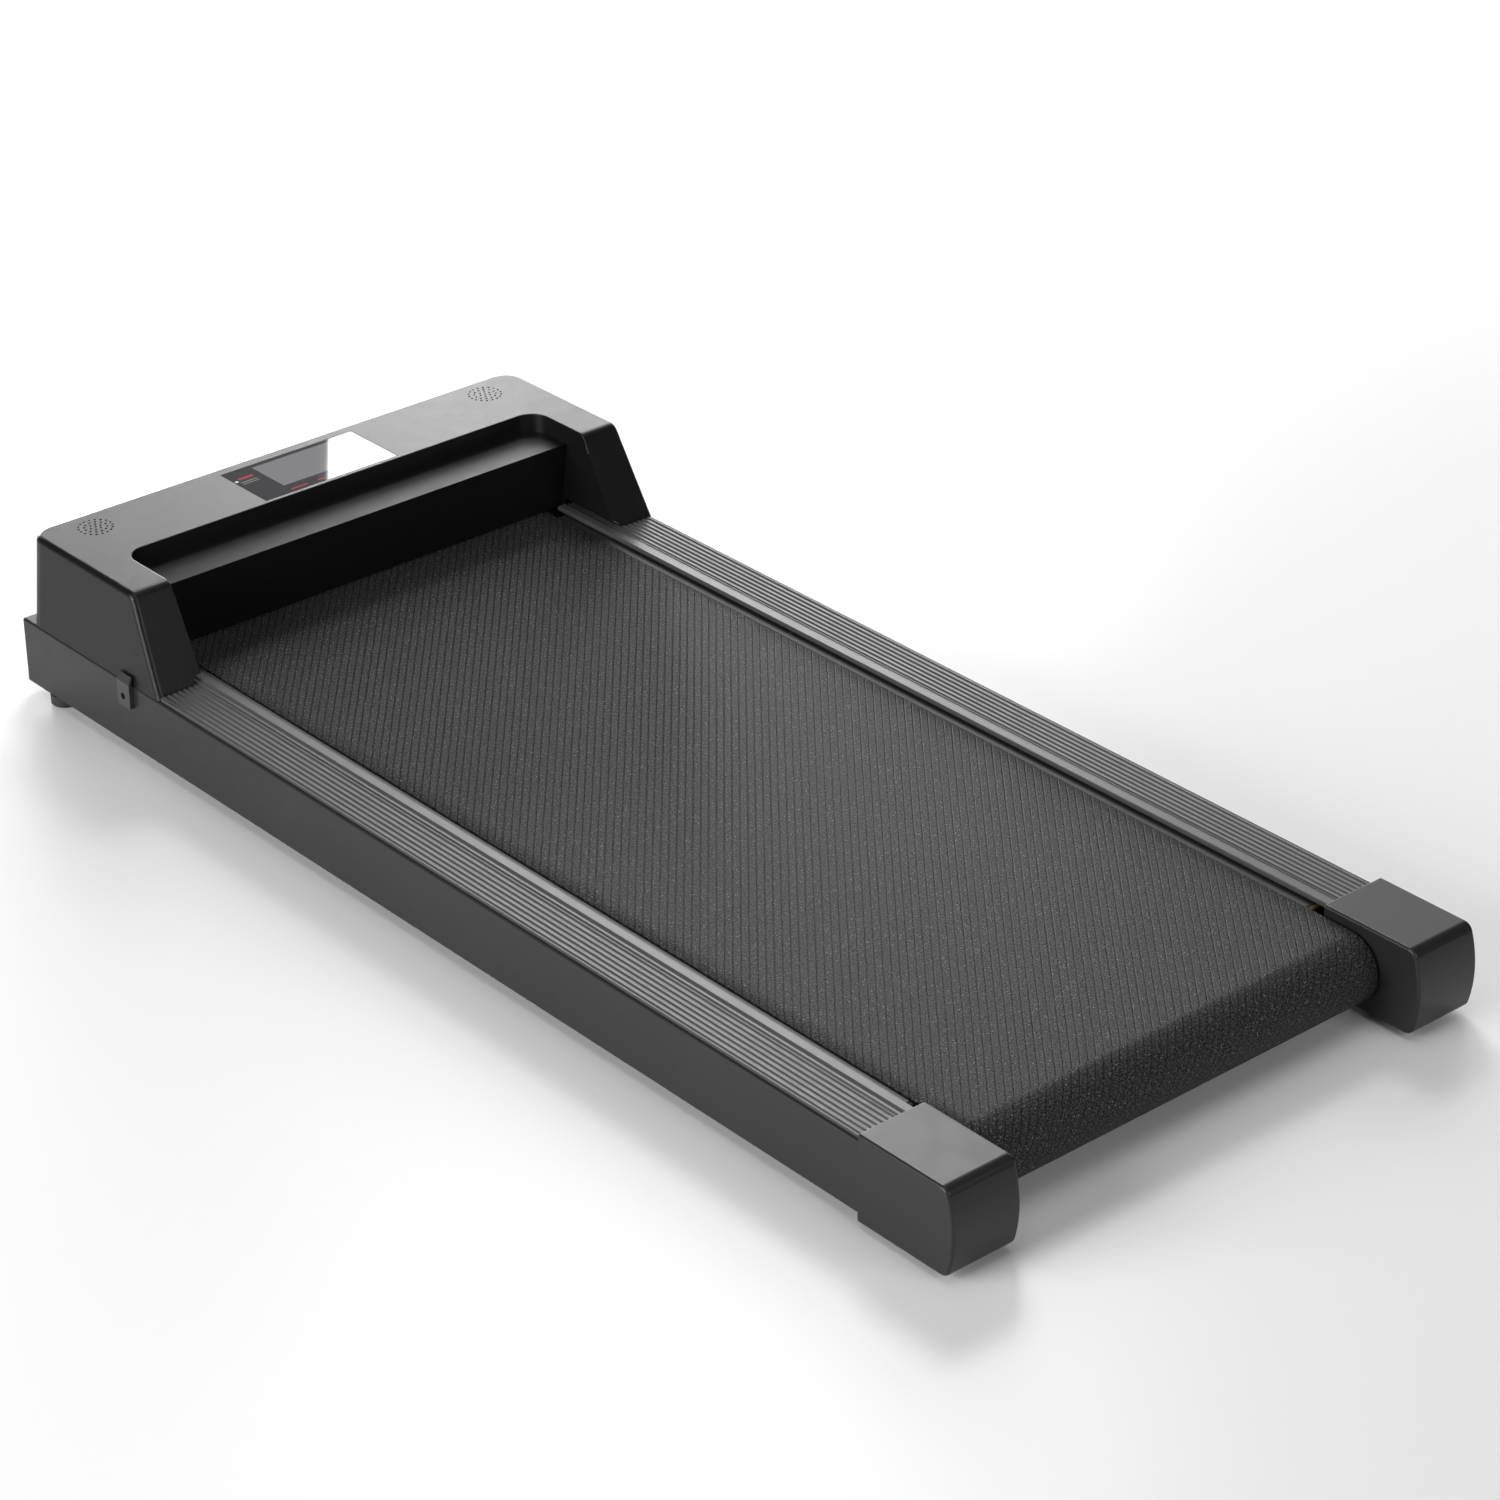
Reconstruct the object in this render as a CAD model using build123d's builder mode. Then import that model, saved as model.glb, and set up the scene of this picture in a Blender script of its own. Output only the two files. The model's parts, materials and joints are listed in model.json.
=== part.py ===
from build123d import *
import math
import os

# Flat walking-pad treadmill, millimetres.
# Origin: centre of the footprint, on the floor. +X is the walker's right, +Y points to the
# motor hood at the front, +Z is up.

os.makedirs("parts", exist_ok=True)

# ---------------------------------------------------------------- driving dimensions
LENGTH = 1164.0              # over end caps and power inlet
FRONT_Y = LENGTH / 2         # foremost faces of inlet, switch and breaker
REAR_Y = -LENGTH / 2         # rearmost point of the end caps
CLEARANCE = 0.3              # between curved faces that move past each other
RUNNING_FIT = 0.05           # radial play of shafts and axles in their bearings

# base frame
BEAM_OUT = 262.2             # outer face of the side beams
BEAM_W = 40.0
BEAM_IN = BEAM_OUT - BEAM_W
BEAM_TOP = 70.0
BEAM_BOTTOM = 10.0
BEAM_WALL = 2.0
PANEL_FRONT = FRONT_Y - 2.0  # front face of the sheet-metal front panel
PANEL_T = 3.0
PANEL_BACK = PANEL_FRONT - PANEL_T
PAN_T = 2.0
PAN_TOP = BEAM_BOTTOM + PAN_T
PAN_REAR = 511.0

# belt, rollers, deck
ROLLER_Z = 41.0
REAR_ROLLER_Y = -514.5
FRONT_ROLLER_Y = 477.0
BELT_HALF_W = 199.5
BELT_T = 1.6
BELT_R_IN = 28.0
BELT_R_OUT = BELT_R_IN + BELT_T
ROLLER_R = BELT_R_IN - CLEARANCE
ROLLER_BORE_R = 25.0
SHAFT_R = 7.5
BEARING_OD = 35.0
BEARING_W = 11.0
DECK_TOP = ROLLER_Z + BELT_R_IN
DECK_T = 12.0
DECK_REAR = -470.0
DECK_FRONT = 438.0
DECK_HALF_W = 219.0
CUSHION_H = 7.0
CROSS_TOP = DECK_TOP - DECK_T - CUSHION_H
CROSS_H = 25.0
CROSS_W = 40.0
CROSS_Y = (-430.0, -150.0, 130.0, 395.0)
DECK_SCREW_X = 213.5
TENSION_TRAVEL = 8.0

# side rails
RAIL_IN = 208.5
RAIL_OUT = 259.4
RAIL_REAR = -495.0
RAIL_FRONT = 444.0
RIB_COUNT = 7
RIB_PITCH = 5.22
RIB_FIRST_X = 225.0

# end caps
CAP_IN = 201.6
CAP_OUT = 265.0
CAP_TOP = 78.3
CAP_BOTTOM = 5.5
CAP_FRONT = -485.0
CAP_WALL = 2.5

# motor hood
HOOD_TOP = 151.5
HOOD_BOTTOM = 70.5
HOOD_WALL = 2.5
HOOD_HALF_TOP = 254.8
HOOD_HALF_BOTTOM = 262.0
HOOD_FRONT_TOP = 572.0
HOOD_FRONT_BOTTOM = 573.4
HOOD_CORNER_R = 20.0
HOOD_EDGE_R = 5.0
POCKET_EDGE_R = 1.0
ARM_REAR_TOP = 415.5
ARM_REAR_BOTTOM = 374.2
ARM_INNER = 217.0
SHELF_Z = 134.5
SHELF_FRONT = 484.5
SHELF_REAR = 439.6
SHELF_CORNER_R = 18.0
FASCIA_BOTTOM_Y = 448.3

# display and speakers in the hood's top
DISPLAY_W = 138.4
DISPLAY_D = 68.5
DISPLAY_Y = 522.95
SPEAKER_X = 206.3
SPEAKER_Y = 542.3
GRILLE_PITCH = 4.87
GRILLE_HOLE_R = 1.1

# drive
MOTOR_Y = 529.0
MOTOR_Z = 92.0
MOTOR_R = 36.0
MOTOR_X0 = 34.0
MOTOR_X1 = 156.0
BELL_T = 6.0
PULLEY_X0 = 205.6
PULLEY_X1 = 216.4
DRIVE_BELT_W = 8.0
DRIVE_BELT_T = 3.0
ROLLER_PULLEY_R = 28.0       # running radius, inner face of the drive belt
MOTOR_PULLEY_R = 11.0

# feet, wheels, front fittings
FOOT_X = 250.0
FOOT_Y = 543.0
FOOT_R = 12.5
WHEEL_X = 205.0
WHEEL_Y = 561.0
WHEEL_Z = 17.0
WHEEL_R = 15.0
WHEEL_W = 20.0
AXLE_R = 3.0
INLET_X = 150.0
SWITCH_X = 100.0
BREAKER_X = 62.0
FITTING_Z = 42.0
CLIP_Y = 421.5
CLIP_HOLE_Y = 422.4
CLIP_HOLE_Z = 59.0
CLIP_HOLE_R = 3.0
CLIP_OUT = 266.5

SIDES = {"left": -1, "right": 1}


def save(piece, name):
    """Label a finished piece and write it as one STEP file."""
    piece.part.label = name
    export_step(piece.part, f"parts/{name}.step")


def x_plane(x):
    """Plane across the machine at x: local x runs along +Y, local y is up, normal +X."""
    return Plane.YZ.offset(x)


def y_plane(y):
    """Plane along the machine at y: local x runs along +X, local y is up, normal -Y."""
    return Plane.XZ.offset(-y)


# ---------------------------------------------------------------- base frame
def side_beam(side):
    """Closed steel box section with rounded edges, from the rear brackets to the front panel."""
    rear = REAR_Y + 24.0
    with BuildPart() as beam:
        with BuildSketch(y_plane(rear)):
            with Locations((side * (BEAM_OUT - BEAM_W / 2), (BEAM_TOP + BEAM_BOTTOM) / 2)):
                RectangleRounded(BEAM_W, BEAM_TOP - BEAM_BOTTOM, 2.0)
                RectangleRounded(
                    BEAM_W - 2 * BEAM_WALL,
                    BEAM_TOP - BEAM_BOTTOM - 2 * BEAM_WALL,
                    0.8,
                    mode=Mode.SUBTRACT,
                )
        extrude(amount=-(PANEL_BACK - rear))
        # clearance hole behind the hole of the side clip
        with BuildSketch(x_plane(side * (BEAM_OUT - 6.0))):
            with Locations((CLIP_HOLE_Y, CLIP_HOLE_Z)):
                Circle(CLIP_HOLE_R + 0.5)
        extrude(amount=side * 8.0, mode=Mode.SUBTRACT)
    return beam


for side_name, side in SIDES.items():
    save(side_beam(side), f"side_beam_{side_name}")

INLET_CUT = (27.4, 20.0)
SWITCH_CUT = (22.4, 18.4)
BREAKER_R = 5.5
FLANGE_REAR = 552.0
HOOD_SCREW_X = (-212.0, -75.0, 8.0, 212.0)
HOOD_SCREW_Y = 565.5

with BuildPart() as front_panel:
    with BuildSketch(y_plane(PANEL_FRONT)):
        with Locations((0, (BEAM_TOP + BEAM_BOTTOM) / 2)):
            RectangleRounded(2 * BEAM_OUT, BEAM_TOP - BEAM_BOTTOM, 2.0)
        with Locations((INLET_X, FITTING_Z)):
            Rectangle(*INLET_CUT, mode=Mode.SUBTRACT)
        with Locations((SWITCH_X, FITTING_Z)):
            Rectangle(*SWITCH_CUT, mode=Mode.SUBTRACT)
        with Locations((BREAKER_X, FITTING_Z)):
            Circle(BREAKER_R, mode=Mode.SUBTRACT)
        # cooling slots in front of the controller
        with Locations((-115.0, FITTING_Z)):
            with GridLocations(9.0, 1.0, 11, 1):
                SlotOverall(26.0, 3.6, rotation=90, mode=Mode.SUBTRACT)
    extrude(amount=PANEL_T)
    # top flange under the hood's front edge
    with BuildSketch(Plane.XY.offset(BEAM_TOP - 2.0)):
        with Locations((0, (FLANGE_REAR + PANEL_BACK) / 2)):
            Rectangle(2 * BEAM_IN, PANEL_BACK - FLANGE_REAR)
        # notch that clears the motor
        with Locations((108.0, FLANGE_REAR + 6.5)):
            Rectangle(172.0, 13.0, mode=Mode.SUBTRACT)
    extrude(amount=2.0)
    with BuildSketch(Plane.XY.offset(BEAM_TOP - 2.0)):
        with Locations(*[(x, HOOD_SCREW_Y) for x in HOOD_SCREW_X]):
            Circle(2.2)
    extrude(amount=2.0, mode=Mode.SUBTRACT)
save(front_panel, "front_panel")

with BuildPart() as base_pan:
    with BuildSketch(Plane.XY.offset(BEAM_BOTTOM)):
        with Locations((0, (PAN_REAR + PANEL_BACK) / 2)):
            Rectangle(2 * BEAM_IN, PANEL_BACK - PAN_REAR)
        with Locations((WHEEL_X, WHEEL_Y - 0.5), (-WHEEL_X, WHEEL_Y - 0.5)):
            Rectangle(WHEEL_W + 12.0, 2 * WHEEL_R + 4.0, mode=Mode.SUBTRACT)
        with Locations((-115.0, 545.0)):
            with GridLocations(9.0, 1.0, 11, 1):
                SlotOverall(30.0, 3.0, rotation=90, mode=Mode.SUBTRACT)
    extrude(amount=PAN_T)
save(base_pan, "base_pan")

with BuildPart() as deck_crossmembers:
    for cross_y in CROSS_Y:
        with BuildSketch(x_plane(-BEAM_IN)):
            with Locations((cross_y, CROSS_TOP - CROSS_H / 2)):
                RectangleRounded(CROSS_W, CROSS_H, 2.5)
                RectangleRounded(CROSS_W - 4.0, CROSS_H - 4.0, 1.0, mode=Mode.SUBTRACT)
        extrude(amount=2 * BEAM_IN)
    with BuildSketch(Plane.XY.offset(CROSS_TOP - 2.0)):
        with Locations(*[(x, y) for x in (-DECK_SCREW_X, DECK_SCREW_X) for y in CROSS_Y]):
            Circle(3.0)
    extrude(amount=2.0, mode=Mode.SUBTRACT)
save(deck_crossmembers, "deck_crossmembers")

with BuildPart() as running_deck:
    with BuildSketch(Plane.XY.offset(DECK_TOP - DECK_T)):
        with Locations((0, (DECK_REAR + DECK_FRONT) / 2)):
            Rectangle(2 * DECK_HALF_W, DECK_FRONT - DECK_REAR)
    extrude(amount=DECK_T)
    top_face = running_deck.faces().sort_by(Axis.Z)[-1]
    chamfer(top_face.edges().filter_by(Axis.X), 3.0)
    with Locations(*[(x, y, DECK_TOP) for x in (-DECK_SCREW_X, DECK_SCREW_X) for y in CROSS_Y]):
        CounterSinkHole(radius=3.0, counter_sink_radius=5.0, depth=DECK_T)
save(running_deck, "running_deck")

with BuildPart() as deck_cushions:
    for cross_y in CROSS_Y:
        for cushion_x in (-DECK_SCREW_X, DECK_SCREW_X):
            with BuildSketch(Plane.XY.offset(CROSS_TOP)):
                with Locations((cushion_x, cross_y)):
                    Circle(8.0)
                    Circle(3.0, mode=Mode.SUBTRACT)
            extrude(amount=CUSHION_H)
        for cushion_x in (-110.0, 0.0, 110.0):
            with BuildSketch(Plane.XY.offset(CROSS_TOP)):
                with Locations((cushion_x, cross_y)):
                    Circle(15.0)
            extrude(amount=CUSHION_H, taper=4.0)
save(deck_cushions, "deck_cushions")

with BuildPart() as deck_screws:
    for cross_y in CROSS_Y:
        for screw_x in (-DECK_SCREW_X, DECK_SCREW_X):
            with BuildSketch(Plane(origin=(screw_x, cross_y, 0), x_dir=(1, 0, 0), z_dir=(0, -1, 0))):
                with BuildLine():
                    Polyline(
                        (0, CROSS_TOP - 8.0),
                        (3.0, CROSS_TOP - 8.0),
                        (3.0, DECK_TOP - 2.0),
                        (5.0, DECK_TOP),
                        (0, DECK_TOP),
                        close=True,
                    )
                make_face()
            revolve(axis=Axis((screw_x, cross_y, 0), (0, 0, 1)))
save(deck_screws, "deck_screws")

# ---------------------------------------------------------------- running belt and rollers
with BuildPart() as running_belt:
    with BuildSketch(Plane.YZ):
        with Locations(((REAR_ROLLER_Y + FRONT_ROLLER_Y) / 2, ROLLER_Z)):
            SlotCenterToCenter(FRONT_ROLLER_Y - REAR_ROLLER_Y, 2 * BELT_R_OUT)
            SlotCenterToCenter(
                FRONT_ROLLER_Y - REAR_ROLLER_Y, 2 * BELT_R_IN, mode=Mode.SUBTRACT
            )
    extrude(amount=BELT_HALF_W, both=True)
save(running_belt, "running_belt")

ROLLER_HALF = 200.0
HUB_W = 18.0


def roller_tube(roller_y):
    """Steel tube of a roller, with softly rounded ends."""
    with BuildPart() as tube:
        with BuildSketch(x_plane(-ROLLER_HALF)):
            with Locations((roller_y, ROLLER_Z)):
                Circle(ROLLER_R)
                Circle(ROLLER_BORE_R, mode=Mode.SUBTRACT)
        extrude(amount=2 * ROLLER_HALF)
        chamfer(tube.edges().filter_by(GeomType.CIRCLE).sort_by(SortBy.RADIUS)[-2:], 0.8)
    return tube


def roller_hubs(roller_y):
    """Pressed-in end hubs that carry the bearings: one solid at each end of the tube."""
    with BuildPart() as hubs:
        for side in SIDES.values():
            with BuildSketch(x_plane(side * ROLLER_HALF)):
                with Locations((roller_y, ROLLER_Z)):
                    Circle(ROLLER_BORE_R)
                    Circle(BEARING_OD / 2, mode=Mode.SUBTRACT)
            extrude(amount=-side * HUB_W)
            with BuildSketch(x_plane(side * (ROLLER_HALF - HUB_W))):
                with Locations((roller_y, ROLLER_Z)):
                    Circle(ROLLER_BORE_R)
                    Circle(SHAFT_R + 2.0, mode=Mode.SUBTRACT)
            extrude(amount=side * 4.0)
    return hubs


def roller_bearings(roller_y):
    """Deep-groove bearings, 15 x 35 x 11, with a groove between the rings on the open face."""
    outer = ROLLER_HALF - HUB_W + 4.0 + BEARING_W
    with BuildPart() as bearings:
        for side in SIDES.values():
            with BuildSketch(x_plane(side * outer)):
                with Locations((roller_y, ROLLER_Z)):
                    Circle(BEARING_OD / 2)
                    Circle(SHAFT_R + RUNNING_FIT, mode=Mode.SUBTRACT)
            extrude(amount=-side * BEARING_W)
            with BuildSketch(x_plane(side * outer)):
                with Locations((roller_y, ROLLER_Z)):
                    Circle(14.5)
                    Circle(10.5, mode=Mode.SUBTRACT)
            extrude(amount=-side * 1.0, mode=Mode.SUBTRACT)
    return bearings


def roller_shaft(roller_y, half_length, cross_hole_x):
    """Fixed through-shaft; the rear one has a cross hole near each end for its adjusting bolt."""
    with BuildPart() as shaft:
        with BuildSketch(x_plane(-half_length)):
            with Locations((roller_y, ROLLER_Z)):
                Circle(SHAFT_R)
        extrude(amount=2 * half_length)
        chamfer(shaft.edges().filter_by(GeomType.CIRCLE), 0.6)
        if cross_hole_x:
            with BuildSketch(y_plane(roller_y)):
                with Locations((cross_hole_x, ROLLER_Z), (-cross_hole_x, ROLLER_Z)):
                    Circle(4.0 + CLEARANCE)
            extrude(amount=SHAFT_R + 1.0, both=True, mode=Mode.SUBTRACT)
    return shaft


TENSION_BOLT_X = 215.8
save(roller_tube(FRONT_ROLLER_Y), "front_roller_tube")
save(roller_hubs(FRONT_ROLLER_Y), "front_roller_hubs")
save(roller_bearings(FRONT_ROLLER_Y), "front_roller_bearings")
save(roller_shaft(FRONT_ROLLER_Y, BEAM_IN, 0), "front_roller_shaft")
save(roller_tube(REAR_ROLLER_Y), "rear_roller_tube")
save(roller_hubs(REAR_ROLLER_Y), "rear_roller_hubs")
save(roller_bearings(REAR_ROLLER_Y), "rear_roller_bearings")
save(roller_shaft(REAR_ROLLER_Y, BEAM_IN - 0.8, TENSION_BOLT_X), "rear_roller_shaft")

with BuildPart() as front_shaft_brackets:
    for side in SIDES.values():
        with BuildSketch(x_plane(side * BEAM_IN)):
            with Locations((FRONT_ROLLER_Y, ROLLER_Z)):
                RectangleRounded(44.0, 44.0, 6.0)
                Circle(SHAFT_R, mode=Mode.SUBTRACT)
        extrude(amount=-side * 4.8)
save(front_shaft_brackets, "front_shaft_brackets")

BRACKET_REAR = -550.0
BRACKET_FRONT = -478.0
BRACKET_X = 206.5
BRACKET_T = 3.0

with BuildPart() as rear_roller_brackets:
    for side in SIDES.values():
        # slotted plate that guides the shaft end
        with BuildSketch(x_plane(side * BRACKET_X)):
            with Locations(((BRACKET_REAR + BRACKET_FRONT) / 2, ROLLER_Z)):
                RectangleRounded(BRACKET_FRONT - BRACKET_REAR, 40.0, 3.0)
            with Locations((REAR_ROLLER_Y + TENSION_TRAVEL / 2, ROLLER_Z)):
                SlotOverall(
                    2 * (SHAFT_R + CLEARANCE) + TENSION_TRAVEL + 1.0,
                    2 * (SHAFT_R + CLEARANCE),
                    mode=Mode.SUBTRACT,
                )
        extrude(amount=side * BRACKET_T)
        # end plates back to the beam; the rear one takes the adjusting bolt
        for plate_y in (BRACKET_REAR + 3.0, BRACKET_FRONT):
            with BuildSketch(y_plane(plate_y)):
                with Locations((side * (BRACKET_X + BEAM_IN) / 2, ROLLER_Z)):
                    Rectangle(BEAM_IN - BRACKET_X, 34.0)
            extrude(amount=3.0)
        with BuildSketch(y_plane(BRACKET_REAR + 3.0)):
            with Locations((side * TENSION_BOLT_X, ROLLER_Z)):
                Circle(4.0 + CLEARANCE)
        extrude(amount=3.0, mode=Mode.SUBTRACT)
save(rear_roller_brackets, "rear_roller_brackets")


def tension_bolt(side):
    """M8 hexagon-head adjusting bolt, lying along Y behind the shaft end."""
    head_back = BRACKET_REAR - 5.8
    with BuildPart() as bolt:
        with BuildSketch(y_plane(BRACKET_REAR - CLEARANCE)):
            with Locations((side * TENSION_BOLT_X, ROLLER_Z)):
                RegularPolygon(6.0, 6)
        extrude(amount=5.5)
        with BuildSketch(y_plane(head_back)):
            with Locations((side * TENSION_BOLT_X, ROLLER_Z)):
                Circle(4.0)
        extrude(amount=-62.0)
        tip = bolt.faces().sort_by(Axis.Y)[-1]
        chamfer(tip.edges(), 0.8)
    return bolt


for side_name, side in SIDES.items():
    save(tension_bolt(side), f"tension_bolt_{side_name}")


# ---------------------------------------------------------------- side rails
def side_rail(side):
    """Extruded foot rail: seven rounded ribs, an outer lip and a raised flat inner band."""
    crest = 73.4
    groove = 72.35
    with BuildPart() as rail:
        with BuildSketch(y_plane(RAIL_REAR)):
            with BuildLine():
                Polyline(
                    (side * (RAIL_OUT - 0.9), groove),
                    (side * (RAIL_OUT - 0.9), 72.8),
                    (side * RAIL_OUT, 72.8),
                    (side * RAIL_OUT, BEAM_TOP),
                    (side * (BEAM_IN - 1.2), BEAM_TOP),
                    (side * (BEAM_IN - 2.4), BEAM_TOP + 1.2),
                    (side * RAIL_IN, BEAM_TOP + 1.2),
                    (side * RAIL_IN, 73.5),
                    (side * (RAIL_IN + 1.1), 74.6),
                    (side * 216.8, 74.6),
                    (side * 219.3, 73.1),
                    (side * 220.4, 73.1),
                    (side * 221.0, 73.7),
                    (side * 221.8, 73.7),
                    (side * 222.6, groove),
                    (side * (RIB_FIRST_X - 1.55), groove),
                )
                for rib in range(RIB_COUNT):
                    rib_x = RIB_FIRST_X + rib * RIB_PITCH
                    ThreePointArc(
                        (side * (rib_x - 1.55), groove),
                        (side * rib_x, crest),
                        (side * (rib_x + 1.55), groove),
                    )
                    next_x = rib_x + RIB_PITCH - 1.55
                    if rib == RIB_COUNT - 1:
                        next_x = RAIL_OUT - 0.9
                    Line((side * (rib_x + 1.55), groove), (side * next_x, groove))
            make_face()
        extrude(amount=-(RAIL_FRONT - RAIL_REAR))
    return rail


for side_name, side in SIDES.items():
    save(side_rail(side), f"side_rail_{side_name}")


# ---------------------------------------------------------------- rear end caps
def cap_body(side, inset):
    """Block with a gently bulged rear face; the inset one is the hollow inside."""
    inner = side * (CAP_IN + inset)
    outer = side * (CAP_OUT - inset)
    top = CAP_TOP - inset
    bottom = CAP_BOTTOM + inset
    front = CAP_FRONT + (10.0 if inset else 0.0)
    with BuildPart() as body:
        with BuildSketch(x_plane(min(inner, outer))):
            with BuildLine():
                Polyline((-574.5 + inset, top), (front, top), (front, bottom), (-576.0 + inset, bottom))
                ThreePointArc(
                    (-574.5 + inset, top), (REAR_Y + inset, 44.0), (-576.0 + inset, bottom)
                )
            make_face()
        extrude(amount=abs(outer - inner))
        rear_edges = body.edges().filter_by(Axis.X).group_by(Axis.Y)[0:2]
        fillet(rear_edges[0] + rear_edges[1], 9.0 - inset)
        if not inset:
            side_faces = body.faces().filter_by(Axis.X)
            fillet(side_faces.edges().filter_by(lambda e: e.center().Y < CAP_FRONT - 1.0), 2.4)
            front_edges = body.faces().sort_by(Axis.Y)[-1].edges()
            fillet(front_edges, 0.8)
    return body


def end_cap(side):
    """Moulded cap over the beam's rear end, slotted on its inner face for the roller shaft."""
    outside = cap_body(side, 0.0)
    inside = cap_body(side, CAP_WALL)
    slot_end = REAR_ROLLER_Y - SHAFT_R - 1.0
    with BuildPart() as cap:
        add(outside.part)
        add(inside.part, mode=Mode.SUBTRACT)
        with BuildSketch(x_plane(side * (CAP_IN - 1.0))):
            with Locations(((slot_end + CAP_FRONT + 5.0) / 2, ROLLER_Z)):
                Rectangle(CAP_FRONT + 5.0 - slot_end, 2 * SHAFT_R + 2.0)
        extrude(amount=side * (CAP_WALL + 2.0), mode=Mode.SUBTRACT)
        # hole for the fixing screw in the floor of the cap
        with BuildSketch(Plane.XY.offset(CAP_BOTTOM)):
            with Locations((side * CAP_SCREW_X, CAP_SCREW_Y)):
                Circle(2.5)
        extrude(amount=CAP_WALL, mode=Mode.SUBTRACT)
        # floor rib that seats the cap against the underside of the beam
        with BuildSketch(Plane.XY.offset(CAP_BOTTOM + CAP_WALL)):
            with Locations((side * CAP_SCREW_X, CAP_SCREW_Y)):
                Circle(6.0)
                Circle(2.5, mode=Mode.SUBTRACT)
        extrude(amount=BEAM_BOTTOM - CAP_BOTTOM - CAP_WALL)
    return cap


CAP_SCREW_X = 238.0
CAP_SCREW_Y = -504.0
for side_name, side in SIDES.items():
    save(end_cap(side), f"end_cap_{side_name}")

with BuildPart() as end_cap_screws:
    for side in SIDES.values():
        with BuildSketch(Plane.XY.offset(CAP_BOTTOM - 2.4)):
            with Locations((side * CAP_SCREW_X, CAP_SCREW_Y)):
                Circle(4.6)
        extrude(amount=2.4)
        with BuildSketch(Plane.XY.offset(CAP_BOTTOM)):
            with Locations((side * CAP_SCREW_X, CAP_SCREW_Y)):
                Circle(2.5)
        extrude(amount=BEAM_BOTTOM - CAP_BOTTOM)
save(end_cap_screws, "end_cap_screws")

with BuildPart() as rear_pads:
    for side in SIDES.values():
        with BuildSketch(Plane.XY):
            with Locations((side * 233.0, -541.0)):
                RectangleRounded(42.0, 40.0, 6.0)
        extrude(amount=CAP_BOTTOM)
save(rear_pads, "rear_pads")

with BuildPart() as front_feet:
    for side in SIDES.values():
        with BuildSketch(Plane.XY):
            with Locations((side * FOOT_X, FOOT_Y)):
                Circle(FOOT_R)
        extrude(amount=BEAM_BOTTOM)
    chamfer(front_feet.faces().group_by(Axis.Z)[0].edges(), 1.2)
save(front_feet, "front_feet")


# ---------------------------------------------------------------- side clips
def side_clip(side):
    """Small steel keeper on the beam: a holed plate with a tab leaning in against the hood."""
    plate_bottom = 49.7
    with BuildPart() as clip:
        with BuildSketch(y_plane(CLIP_Y + 9.0)):
            with BuildLine():
                Polyline(
                    (side * BEAM_OUT, plate_bottom),
                    (side * CLIP_OUT, plate_bottom),
                    (side * CLIP_OUT, 72.4),
                    (side * 263.5, 79.2),
                    (side * 262.2, 78.4),
                    (side * 264.0, 71.6),
                    (side * BEAM_OUT, 69.0),
                    close=True,
                )
            make_face()
        extrude(amount=18.0)
        with BuildSketch(x_plane(side * BEAM_OUT)):
            with Locations((CLIP_HOLE_Y, CLIP_HOLE_Z)):
                Circle(CLIP_HOLE_R)
        extrude(amount=side * (CLIP_OUT - BEAM_OUT), mode=Mode.SUBTRACT)
        corner_edges = clip.edges().filter_by(Axis.X).group_by(Axis.Z)[0]
        fillet(corner_edges, 1.5)
    return clip


for side_name, side in SIDES.items():
    save(side_clip(side), f"side_clip_{side_name}")


# ---------------------------------------------------------------- motor hood
def lerp(a, b, t):
    """Value between a and b."""
    return a + (b - a) * t


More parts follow.
